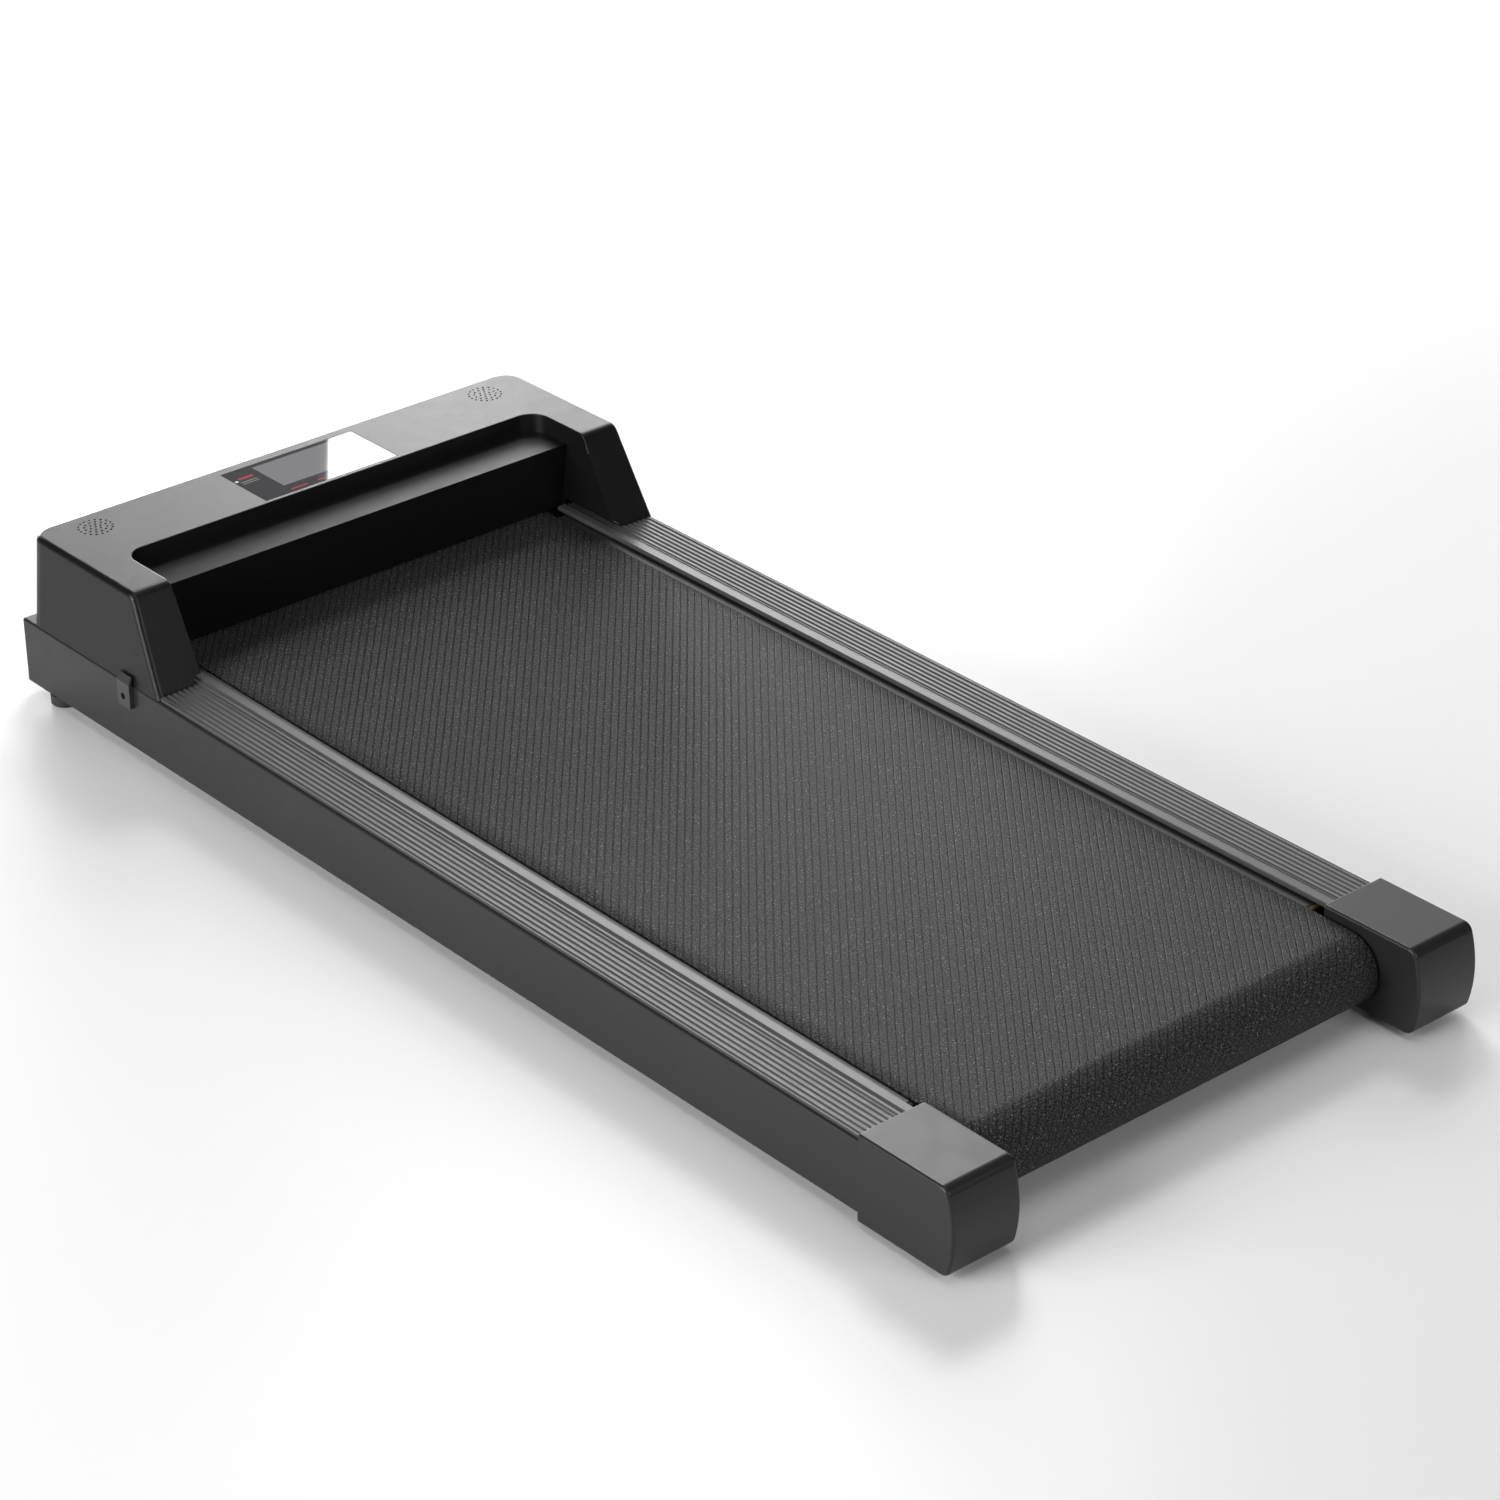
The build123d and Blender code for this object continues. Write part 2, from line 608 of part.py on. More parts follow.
def hood_form(inset):
    """Hood block with sloping arms and shelf pocket; the inset one is the hollow inside."""
    top = HOOD_TOP - inset
    bottom = HOOD_BOTTOM - (4.0 if inset else 0.0)
    full = HOOD_TOP - HOOD_BOTTOM

    def half_width(z):
        return lerp(HOOD_HALF_BOTTOM, HOOD_HALF_TOP, (z - HOOD_BOTTOM) / full) - inset

    def front(z):
        return lerp(HOOD_FRONT_BOTTOM, HOOD_FRONT_TOP, (z - HOOD_BOTTOM) / full) - inset

    def arm_rear(z):
        slope = (z - HOOD_BOTTOM) / full
        return lerp(ARM_REAR_BOTTOM, ARM_REAR_TOP, slope) + inset * 1.12

    back = ARM_REAR_BOTTOM - 20.0
    with BuildPart() as form:
        for z in (bottom, top):
            with BuildSketch(Plane.XY.offset(z)):
                with Locations((0, (back + front(z)) / 2)):
                    Rectangle(2 * half_width(z), front(z) - back)
        loft()
        corner_edges = form.edges().filter_by(lambda e: e.center().Y > 500 and abs(e.center().X) > 200
                                              and abs(e.tangent_at(0.5).Z) > 0.9)
        fillet(corner_edges, HOOD_CORNER_R - inset)
        # sloping rear faces of the arms
        with BuildSketch(Plane.YZ):
            with BuildLine():
                Polyline(
                    (arm_rear(bottom - 10.0), bottom - 10.0),
                    (arm_rear(top + 10.0), top + 10.0),
                    (back - 30.0, top + 10.0),
                    (back - 30.0, bottom - 10.0),
                    close=True,
                )
            make_face()
        extrude(amount=HOOD_HALF_BOTTOM + 20.0, both=True, mode=Mode.SUBTRACT)
        if not inset:
            arm_edges = form.edges().filter_by(Axis.X).group_by(Axis.Z)[-1].sort_by(Axis.Y)[0]
            fillet(arm_edges, 9.0)
        # shelf pocket between the arms, with rounded front corners and slightly drafted walls
        pocket_back = back - 60.0
        pocket_front = SHELF_FRONT + inset
        with BuildSketch(Plane.XY.offset(top)) as pocket:
            with Locations((0, (pocket_front + pocket_back) / 2)):
                Rectangle(2 * (ARM_INNER + inset), pocket_front - pocket_back)
            fillet(pocket.vertices().group_by(Axis.Y)[-1], SHELF_CORNER_R + inset)
        extrude(amount=SHELF_Z - HOOD_TOP, taper=3.0, mode=Mode.SUBTRACT)
        # open space behind the fascia, which leans back towards the belt
        lean = (FASCIA_BOTTOM_Y - SHELF_REAR) / (SHELF_Z - HOOD_BOTTOM)
        shelf = SHELF_Z - inset
        with BuildSketch(Plane.YZ):
            with BuildLine():
                Polyline(
                    (SHELF_REAR + inset, shelf + 1.0),
                    (SHELF_REAR + inset, shelf),
                    (SHELF_REAR + inset + lean * (shelf - bottom + 2.0), bottom - 2.0),
                    (pocket_back, bottom - 2.0),
                    (pocket_back, shelf + 1.0),
                    close=True,
                )
            make_face()
        extrude(amount=ARM_INNER + inset, both=True, mode=Mode.SUBTRACT)
    return form


hood_outside = hood_form(0.0)
hood_inside = hood_form(HOOD_WALL)

with BuildPart() as hood_shell:
    add(hood_outside.part)
    # soft edges round the top plate and round the shelf pocket
    top_face = hood_shell.faces().filter_by(Axis.Z).sort_by(Axis.Z)[-1]
    rim_edges = top_face.edges().filter_by(
        lambda e: abs(e.center().X) > ARM_INNER + 2.0 or e.center().Y > SHELF_FRONT + 20.0
    )
    rim_edges = rim_edges.filter_by(lambda e: e.center().Y > ARM_REAR_TOP + 10.0)
    fillet(rim_edges, HOOD_EDGE_R)
    top_face = hood_shell.faces().filter_by(Axis.Z).sort_by(Axis.Z)[-1]
    pocket_edges = top_face.edges().filter_by(
        lambda e: abs(e.center().X) < ARM_INNER + 1.0 and e.center().Y < SHELF_FRONT + 1.0
    )
    fillet(pocket_edges, POCKET_EDGE_R)
    add(hood_inside.part, mode=Mode.SUBTRACT)
    # room for the side rails under the arms, higher over the rails' inner band
    for side in SIDES.values():
        with BuildSketch(y_plane(RAIL_FRONT + CLEARANCE)):
            with BuildLine():
                Polyline(
                    (side * (ARM_INNER - 6.0), HOOD_BOTTOM - 6.0),
                    (side * 259.8, HOOD_BOTTOM - 6.0),
                    (side * 259.8, 74.0),
                    (side * 226.5, 74.0),
                    (side * 224.0, 80.0),
                    (side * (ARM_INNER - 6.0), 80.0),
                    close=True,
                )
            make_face()
        extrude(amount=120.0, mode=Mode.SUBTRACT)
    # gap between the fascia and the running belt
    with BuildSketch(y_plane(FASCIA_BOTTOM_Y + 8.0)):
        with Locations((0, HOOD_BOTTOM - 3.0)):
            Rectangle(2 * ARM_INNER, 9.0)
    extrude(amount=20.0, mode=Mode.SUBTRACT)
    # display window
    with BuildSketch(Plane.XY.offset(HOOD_TOP)):
        with Locations((0, DISPLAY_Y)):
            Rectangle(DISPLAY_W + 0.4, DISPLAY_D + 0.4)
    extrude(amount=-HOOD_WALL - 1.0, mode=Mode.SUBTRACT)
    # speaker grilles: one hole and three rings
    for side in SIDES.values():
        with BuildSketch(Plane.XY.offset(HOOD_TOP)):
            with Locations((side * SPEAKER_X, SPEAKER_Y)):
                Circle(GRILLE_HOLE_R)
                for ring in (1, 2, 3):
                    with PolarLocations(ring * GRILLE_PITCH, 6 * ring):
                        Circle(GRILLE_HOLE_R)
        extrude(amount=-HOOD_WALL - 1.0, mode=Mode.SUBTRACT)
    # screw bosses inside the front wall
    with BuildSketch(Plane.XY.offset(HOOD_BOTTOM)):
        with Locations(*[(x, HOOD_SCREW_Y) for x in HOOD_SCREW_X]):
            Circle(5.2)
            Circle(1.8, mode=Mode.SUBTRACT)
    extrude(amount=20.0)
save(hood_shell, "hood_shell")

with BuildPart() as hood_screws:
    for screw_x in HOOD_SCREW_X:
        with BuildSketch(Plane.XY.offset(BEAM_TOP - 2.0 - 2.6)):
            with Locations((screw_x, HOOD_SCREW_Y)):
                Circle(3.8)
        extrude(amount=2.6)
        with BuildSketch(Plane.XY.offset(BEAM_TOP - 2.0)):
            with Locations((screw_x, HOOD_SCREW_Y)):
                Circle(1.8)
        extrude(amount=16.0)
save(hood_screws, "hood_screws")

# ---------------------------------------------------------------- display
TOP_INSIDE = HOOD_TOP - HOOD_WALL
TRAY_W = 146.0
TRAY_D = 73.0
TRAY_H = 9.0
TRAY_Y = SHELF_FRONT + HOOD_WALL + 1.0 + TRAY_D / 2

with BuildPart() as display_glass:
    with BuildSketch(Plane.XY.offset(TOP_INSIDE)):
        with Locations((0, DISPLAY_Y)):
            RectangleRounded(DISPLAY_W, DISPLAY_D, 1.0)
    extrude(amount=HOOD_WALL - 0.1)
    chamfer(display_glass.faces().sort_by(Axis.Z)[-1].edges(), 0.25)
save(display_glass, "display_glass")

with BuildPart() as display_tray:
    with BuildSketch(Plane.XY.offset(TOP_INSIDE - TRAY_H)):
        with Locations((0, TRAY_Y)):
            RectangleRounded(TRAY_W, TRAY_D, 3.0)
    extrude(amount=TRAY_H)
    with BuildSketch(Plane.XY.offset(TOP_INSIDE - TRAY_H + 2.0)):
        with Locations((0, DISPLAY_Y)):
            Rectangle(DISPLAY_W - 4.0, DISPLAY_D - 4.0)
    extrude(amount=TRAY_H, mode=Mode.SUBTRACT)
save(display_tray, "display_tray")

BOARD_T = 1.6
with BuildPart() as display_board:
    with BuildSketch(Plane.XY.offset(TOP_INSIDE - TRAY_H + 2.0)):
        with Locations((0, DISPLAY_Y)):
            Rectangle(130.0, 60.0)
    extrude(amount=BOARD_T)
save(display_board, "display_board")

with BuildPart() as display_lcd:
    with BuildSketch(Plane.XY.offset(TOP_INSIDE - TRAY_H + 2.0 + BOARD_T)):
        with Locations((0, DISPLAY_Y + 9.0)):
            Rectangle(104.0, 36.0)
    extrude(amount=TRAY_H - 2.0 - BOARD_T - 0.4)
save(display_lcd, "display_lcd")

# ---------------------------------------------------------------- speakers
SPEAKER_R = 19.0
with BuildPart() as speaker_frames:
    for side in SIDES.values():
        with BuildSketch(Plane.XY.offset(TOP_INSIDE - 4.0)):
            with Locations((side * SPEAKER_X, SPEAKER_Y)):
                Circle(SPEAKER_R)
                Circle(SPEAKER_R - 3.0, mode=Mode.SUBTRACT)
        extrude(amount=4.0)
        with BuildSketch(Plane.XY.offset(TOP_INSIDE - 6.0)):
            with Locations((side * SPEAKER_X, SPEAKER_Y)):
                Circle(SPEAKER_R)
        extrude(amount=2.0)
        with BuildSketch(Plane.XY.offset(TOP_INSIDE - 18.0)):
            with Locations((side * SPEAKER_X, SPEAKER_Y)):
                Circle(11.0)
        extrude(amount=12.0)
save(speaker_frames, "speaker_frames")

with BuildPart() as speaker_cones:
    for side in SIDES.values():
        profile = Plane(origin=(side * SPEAKER_X, SPEAKER_Y, 0), x_dir=(1, 0, 0), z_dir=(0, -1, 0))
        with BuildSketch(profile):
            with BuildLine():
                Polyline(
                    (0, TOP_INSIDE - 4.0),
                    (SPEAKER_R - 3.0, TOP_INSIDE - 4.0),
                    (SPEAKER_R - 3.0, TOP_INSIDE - 1.5),
                    (SPEAKER_R - 5.0, TOP_INSIDE - 1.0),
                    (6.0, TOP_INSIDE - 3.4),
                    (0, TOP_INSIDE - 2.4),
                    close=True,
                )
            make_face()
        revolve(axis=Axis((side * SPEAKER_X, SPEAKER_Y, 0), (0, 0, 1)))
save(speaker_cones, "speaker_cones")


# ---------------------------------------------------------------- motor and drive
def ring_x(x0, x1, y, z, radius, bore):
    """Round bar or sleeve along X between x0 and x1."""
    with Locations(((x0 + x1) / 2, y, z)):
        Cylinder(radius, x1 - x0, rotation=(0, 90, 0))
        if bore:
            Cylinder(bore, x1 - x0, rotation=(0, 90, 0), mode=Mode.SUBTRACT)


MOTOR_SHAFT_R = 6.0
BELL_X1 = MOTOR_X1 + BELL_T
MOTOR_BOLT_R = 3.0
MOTOR_BOLT_CIRCLE = 26.0
BRACKET_PLATE_T = 5.0

with BuildPart() as motor_can:
    ring_x(MOTOR_X0, MOTOR_X1, MOTOR_Y, MOTOR_Z, MOTOR_R, MOTOR_R - 4.0)
save(motor_can, "motor_can")

with BuildPart() as motor_end_bells:
    ring_x(MOTOR_X0 - BELL_T, MOTOR_X0, MOTOR_Y, MOTOR_Z, MOTOR_R, MOTOR_SHAFT_R + RUNNING_FIT)
    ring_x(MOTOR_X0, MOTOR_X0 + 10.0, MOTOR_Y, MOTOR_Z, 14.0, MOTOR_SHAFT_R + RUNNING_FIT)
    ring_x(MOTOR_X1, BELL_X1, MOTOR_Y, MOTOR_Z, MOTOR_R, MOTOR_SHAFT_R + RUNNING_FIT)
    ring_x(MOTOR_X1 - 10.0, MOTOR_X1, MOTOR_Y, MOTOR_Z, 14.0, MOTOR_SHAFT_R + RUNNING_FIT)
    with BuildSketch(x_plane(BELL_X1)):
        with Locations((MOTOR_Y, MOTOR_Z)):
            with PolarLocations(MOTOR_BOLT_CIRCLE, 4, start_angle=45.0):
                Circle(MOTOR_BOLT_R)
    extrude(amount=-BELL_T, mode=Mode.SUBTRACT)
save(motor_end_bells, "motor_end_bells")

with BuildPart() as motor_shaft:
    ring_x(MOTOR_X0 - BELL_T - 6.0, PULLEY_X1 + 2.0, MOTOR_Y, MOTOR_Z, MOTOR_SHAFT_R, 0)
    # armature
    ring_x(MOTOR_X0 + 14.0, MOTOR_X1 - 14.0, MOTOR_Y, MOTOR_Z, MOTOR_R - 6.0, 0)
save(motor_shaft, "motor_shaft")


def grooved_pulley(y, z, running_r, bore, collar_x0, collar_r):
    """Poly-V pulley with two flanges and a collar towards the centre of the machine."""
    profile = Plane(origin=(0, y, z), x_dir=(1, 0, 0), z_dir=(0, -1, 0))
    rim = running_r - CLEARANCE
    first = PULLEY_X0 + 1.4
    with BuildPart() as pulley:
        with BuildSketch(profile):
            with BuildLine():
                Polyline(
                    (collar_x0, bore),
                    (collar_x0, collar_r),
                    (PULLEY_X0, collar_r),
                    (PULLEY_X0, running_r + 2.0),
                    (PULLEY_X0 + 1.0, running_r + 2.0),
                    (PULLEY_X0 + 1.0, rim),
                    (first, rim),
                )
                for groove in range(4):
                    start = first + 2.0 * groove
                    Polyline(
                        (start, rim), (start + 0.8, rim - 1.6), (start + 1.2, rim - 1.6), (start + 2.0, rim)
                    )
                Polyline(
                    (first + 8.0, rim),
                    (PULLEY_X1 - 1.0, rim),
                    (PULLEY_X1 - 1.0, running_r + 2.0),
                    (PULLEY_X1, running_r + 2.0),
                    (PULLEY_X1, bore),
                    (collar_x0, bore),
                )
            make_face()
        revolve(axis=Axis((0, y, z), (1, 0, 0)))
    return pulley


save(
    grooved_pulley(
        FRONT_ROLLER_Y, ROLLER_Z, ROLLER_PULLEY_R, SHAFT_R + CLEARANCE, ROLLER_HALF, 20.0
    ),
    "front_roller_pulley",
)
save(
    grooved_pulley(MOTOR_Y, MOTOR_Z, MOTOR_PULLEY_R, MOTOR_SHAFT_R, PULLEY_X0 - 5.0, 9.0),
    "motor_pulley",
)


def belt_tangents(radius_a, radius_b):
    """Points of a belt loop round the roller pulley (a) and the motor pulley (b)."""
    dy = MOTOR_Y - FRONT_ROLLER_Y
    dz = MOTOR_Z - ROLLER_Z
    along = math.atan2(dz, dy)
    lean = math.acos((radius_a - radius_b) / math.hypot(dy, dz))

    def on_a(angle):
        return (FRONT_ROLLER_Y + radius_a * math.cos(angle), ROLLER_Z + radius_a * math.sin(angle))

    def on_b(angle):
        return (MOTOR_Y + radius_b * math.cos(angle), MOTOR_Z + radius_b * math.sin(angle))

    upper = (on_a(along + lean), on_b(along + lean))
    lower = (on_b(along - lean), on_a(along - lean))
    return upper, lower, on_a(along + math.pi), on_b(along)


with BuildPart() as drive_belt:
    mid_x = (PULLEY_X0 + PULLEY_X1) / 2
    with BuildSketch(x_plane(mid_x - DRIVE_BELT_W / 2)):
        for thickness, mode in ((DRIVE_BELT_T, Mode.ADD), (0.0, Mode.SUBTRACT)):
            upper, lower, far_a, far_b = belt_tangents(
                ROLLER_PULLEY_R + thickness, MOTOR_PULLEY_R + thickness
            )
            with BuildLine():
                Line(*upper)
                ThreePointArc(upper[1], far_b, lower[0])
                Line(*lower)
                ThreePointArc(lower[1], far_a, upper[0])
            make_face(mode=mode)
    extrude(amount=DRIVE_BELT_W)
save(drive_belt, "drive_belt")

with BuildPart() as motor_bracket:
    with BuildSketch(x_plane(BELL_X1)):
        with Locations((MOTOR_Y, MOTOR_Z + 4.0)):
            RectangleRounded(66.0, 60.0, 4.0)
        with Locations((MOTOR_Y + 2.0, (PAN_TOP + MOTOR_Z) / 2)):
            Rectangle(46.0, MOTOR_Z - PAN_TOP)
        with Locations((MOTOR_Y, MOTOR_Z)):
            Circle(12.0, mode=Mode.SUBTRACT)
            with PolarLocations(MOTOR_BOLT_CIRCLE, 4, start_angle=45.0):
                Circle(MOTOR_BOLT_R, mode=Mode.SUBTRACT)
    extrude(amount=BRACKET_PLATE_T)
    with BuildSketch(Plane.XY.offset(PAN_TOP)):
        with Locations((BELL_X1 + 14.0, MOTOR_Y + 1.0)):
            Rectangle(28.0, 30.0)
    extrude(amount=4.0)
save(motor_bracket, "motor_bracket")

with BuildPart() as motor_bolts:
    for quarter in range(4):
        angle = math.radians(45.0 + 90.0 * quarter)
        bolt_y = MOTOR_Y + MOTOR_BOLT_CIRCLE * math.cos(angle)
        bolt_z = MOTOR_Z + MOTOR_BOLT_CIRCLE * math.sin(angle)
        ring_x(BELL_X1 - BELL_T, BELL_X1 + BRACKET_PLATE_T, bolt_y, bolt_z, MOTOR_BOLT_R, 0)
        with BuildSketch(x_plane(BELL_X1 + BRACKET_PLATE_T)):
            with Locations((bolt_y, bolt_z)):
                RegularPolygon(5.2, 6)
        extrude(amount=4.0)
save(motor_bolts, "motor_bolts")

# ---------------------------------------------------------------- motor controller
SINK_X = -115.0
SINK_Y = 545.0
with BuildPart() as controller_heatsink:
    with BuildSketch(Plane.XY.offset(PAN_TOP)):
        with Locations((SINK_X, SINK_Y)):
            Rectangle(120.0, 56.0)
    extrude(amount=4.0)
    with BuildSketch(Plane.XY.offset(PAN_TOP + 4.0)):
        with Locations((SINK_X, SINK_Y)):
            with GridLocations(11.8, 1.0, 11, 1):
                Rectangle(2.0, 56.0)
    extrude(amount=9.0)
save(controller_heatsink, "controller_heatsink")

with BuildPart() as controller_board:
    with BuildSketch(Plane.XY.offset(PAN_TOP + 13.0)):
        with Locations((SINK_X, SINK_Y)):
            Rectangle(124.0, 58.0)
    extrude(amount=BOARD_T)
save(controller_board, "controller_board")

with BuildPart() as controller_capacitors:
    for capacitor_x in (-152.0, -124.0):
        with BuildSketch(Plane.XY.offset(PAN_TOP + 13.0 + BOARD_T)):
            with Locations((capacitor_x, 552.0)):
                Circle(11.0)
        extrude(amount=30.0)
    chamfer(controller_capacitors.faces().group_by(Axis.Z)[-1].edges(), 1.0)
save(controller_capacitors, "controller_capacitors")

WIRE_R = 2.0
BOARD_TOP = PAN_TOP + 13.0 + BOARD_T
with BuildPart() as internal_wiring:
    with BuildLine() as display_lead:
        FilletPolyline(
            (-40.0, 530.0, TOP_INSIDE - TRAY_H),
            (-40.0, 530.0, 112.0),
            (-70.0, 540.0, 84.0),
            (-78.0, 540.0, 58.0),
            (-78.0, 540.0, BOARD_TOP),
            radius=9.0,
        )
    with BuildSketch(Plane.XY.offset(TOP_INSIDE - TRAY_H)):
        with Locations((-40.0, 530.0)):
            Circle(WIRE_R)
    sweep(path=display_lead.wire())
    with BuildLine() as motor_lead:
        FilletPolyline(
            (MOTOR_X0 - BELL_T, MOTOR_Y, 70.0),
            (2.0, MOTOR_Y, 70.0),
            (-24.0, 536.0, 62.0),
            (-62.0, 552.0, 54.0),
            (-62.0, 552.0, BOARD_TOP),
            radius=8.0,
        )
    with BuildSketch(x_plane(MOTOR_X0 - BELL_T)):
        with Locations((MOTOR_Y, 70.0)):
            Circle(WIRE_R)
    sweep(path=motor_lead.wire())
save(internal_wiring, "internal_wiring")

# ---------------------------------------------------------------- power inlet, switch, breaker
with BuildPart() as power_inlet:
    with BuildSketch(y_plane(FRONT_Y)):
        with Locations((INLET_X, FITTING_Z)):
            RectangleRounded(31.0, 24.0, 2.5)
    extrude(amount=2.0)
    with BuildSketch(y_plane(FRONT_Y - 2.0)):
        with Locations((INLET_X, FITTING_Z)):
            Rectangle(INLET_CUT[0] - 0.2, INLET_CUT[1] - 0.2)
    extrude(amount=24.0)
    with BuildSketch(y_plane(FRONT_Y)) as socket:
        with Locations((INLET_X, FITTING_Z)):
            Rectangle(24.6, 17.0)
        chamfer(socket.vertices().group_by(Axis.Y)[-1], 4.0)
    extrude(amount=18.0, mode=Mode.SUBTRACT)
save(power_inlet, "power_inlet")

with BuildPart() as inlet_pins:
    for pin_x, pin_z in ((-7.0, -2.0), (0.0, 2.0), (7.0, -2.0)):
        with BuildSketch(y_plane(FRONT_Y - 18.0)):
            with Locations((INLET_X + pin_x, FITTING_Z + pin_z)):
                Rectangle(2.0, 4.0)
        extrude(amount=-14.0)
save(inlet_pins, "inlet_pins")

with BuildPart() as switch_body:
    with BuildSketch(y_plane(FRONT_Y)):
        with Locations((SWITCH_X, FITTING_Z)):
            RectangleRounded(26.0, 22.0, 2.0)
    extrude(amount=2.0)
    with BuildSketch(y_plane(FRONT_Y - 2.0)):
        with Locations((SWITCH_X, FITTING_Z)):
            Rectangle(SWITCH_CUT[0] - 0.2, SWITCH_CUT[1] - 0.2)
    extrude(amount=20.0)
    with BuildSketch(y_plane(FRONT_Y)):
        with Locations((SWITCH_X, FITTING_Z)):
            Rectangle(19.4, 15.0)
    extrude(amount=16.0, mode=Mode.SUBTRACT)
save(switch_body, "switch_body")

SWITCH_PIVOT_Y = FRONT_Y - 7.5
SWITCH_THROW = 20.0
tilt = math.radians(-SWITCH_THROW / 2)
rocker_plane = Plane(
    origin=(SWITCH_X, SWITCH_PIVOT_Y, FITTING_Z),
    x_dir=(0, math.cos(tilt), math.sin(tilt)),
    z_dir=(1, 0, 0),
)
with BuildPart() as switch_rocker:
    with BuildSketch(rocker_plane):
        with BuildLine():
            Polyline((0, -5.6), (6.4, -5.6), (5.4, 0), (6.4, 5.6), (0, 5.6))
            ThreePointArc((0, 5.6), (-5.6, 0), (0, -5.6))
        make_face()
    extrude(amount=9.3, both=True)
save(switch_rocker, "switch_rocker")

with BuildPart() as breaker_body:
    with BuildSketch(y_plane(FRONT_Y - 0.5)):
        with Locations((BREAKER_X, FITTING_Z)):
            RegularPolygon(8.5, 6)
    extrude(amount=1.5)
    with BuildSketch(y_plane(FRONT_Y - 2.0)):
        with Locations((BREAKER_X, FITTING_Z)):
            Circle(BREAKER_R - 0.1)
    extrude(amount=22.0)
    with BuildSketch(y_plane(FRONT_Y - 0.5)):
        with Locations((BREAKER_X, FITTING_Z)):
            Circle(3.4 + CLEARANCE)
    extrude(amount=14.0, mode=Mode.SUBTRACT)
save(breaker_body, "breaker_body")

BREAKER_TRAVEL = 2.0
with BuildPart() as breaker_button:
    with BuildSketch(y_plane(FRONT_Y)):
        with Locations((BREAKER_X, FITTING_Z)):
            Circle(3.4)
    extrude(amount=10.0)
    chamfer(breaker_button.faces().sort_by(Axis.Y)[-1].edges(), 0.5)
save(breaker_button, "breaker_button")


# ---------------------------------------------------------------- transport wheels
def transport_wheel(side):
    """Hard rubber wheel with rounded shoulders on a plain axle."""
    with BuildPart() as wheel:
        with BuildSketch(x_plane(side * WHEEL_X - WHEEL_W / 2)):
            with Locations((WHEEL_Y, WHEEL_Z)):
                Circle(WHEEL_R)
                Circle(AXLE_R + RUNNING_FIT, mode=Mode.SUBTRACT)
        extrude(amount=WHEEL_W)
        outer_edges = wheel.edges().filter_by(GeomType.CIRCLE).sort_by(SortBy.RADIUS)[-2:]
        fillet(outer_edges, 2.0)
        for face_side in (-1, 1):
            with BuildSketch(x_plane(side * WHEEL_X + face_side * WHEEL_W / 2)):
                with Locations((WHEEL_Y, WHEEL_Z)):
                    Circle(11.0)
                    Circle(5.5, mode=Mode.SUBTRACT)
            extrude(amount=-face_side * 2.0, mode=Mode.SUBTRACT)
    return wheel


for side_name, side in SIDES.items():
    save(transport_wheel(side), f"transport_wheel_{side_name}")

CHEEK_GAP = WHEEL_W / 2 + 1.0
CHEEK_T = 2.0
with BuildPart() as wheel_brackets:
    for side in SIDES.values():
        for face_side in (-1, 1):
            with BuildSketch(x_plane(side * WHEEL_X + face_side * CHEEK_GAP)):
                with Locations((WHEEL_Y, 25.0)):
                    RectangleRounded(26.0, 30.0, 4.0)
                with Locations((WHEEL_Y, WHEEL_Z)):
                    Circle(AXLE_R, mode=Mode.SUBTRACT)
            extrude(amount=face_side * CHEEK_T)
        with BuildSketch(Plane.XY.offset(35.0)):
            with Locations((side * WHEEL_X, WHEEL_Y + 2.0)):
                Rectangle(2 * CHEEK_GAP, 26.0)
        extrude(amount=2.0)
save(wheel_brackets, "wheel_brackets")

with BuildPart() as wheel_axles:
    for side in SIDES.values():
        axle_half = CHEEK_GAP + CHEEK_T
        ring_x(side * WHEEL_X - axle_half, side * WHEEL_X + axle_half, WHEEL_Y, WHEEL_Z, AXLE_R, 0)
save(wheel_axles, "wheel_axles")
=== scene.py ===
import json
import math

import bmesh
import bpy
from mathutils import Matrix, Vector


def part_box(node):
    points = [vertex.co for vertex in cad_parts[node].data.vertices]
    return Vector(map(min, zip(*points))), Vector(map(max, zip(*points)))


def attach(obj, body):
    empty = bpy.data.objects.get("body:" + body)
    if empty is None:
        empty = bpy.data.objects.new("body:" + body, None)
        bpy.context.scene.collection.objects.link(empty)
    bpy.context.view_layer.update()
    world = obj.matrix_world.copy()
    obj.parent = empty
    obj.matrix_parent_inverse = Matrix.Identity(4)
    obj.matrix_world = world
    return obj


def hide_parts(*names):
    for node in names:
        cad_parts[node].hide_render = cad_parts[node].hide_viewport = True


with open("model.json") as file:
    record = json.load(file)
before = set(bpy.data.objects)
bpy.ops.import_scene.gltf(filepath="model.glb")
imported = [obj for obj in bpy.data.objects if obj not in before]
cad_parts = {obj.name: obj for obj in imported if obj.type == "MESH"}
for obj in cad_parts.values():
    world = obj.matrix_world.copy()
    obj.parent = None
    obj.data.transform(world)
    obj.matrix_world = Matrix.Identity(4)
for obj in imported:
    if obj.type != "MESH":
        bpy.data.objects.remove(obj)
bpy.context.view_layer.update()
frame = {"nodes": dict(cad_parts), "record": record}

ROOT = "treadmill_base"


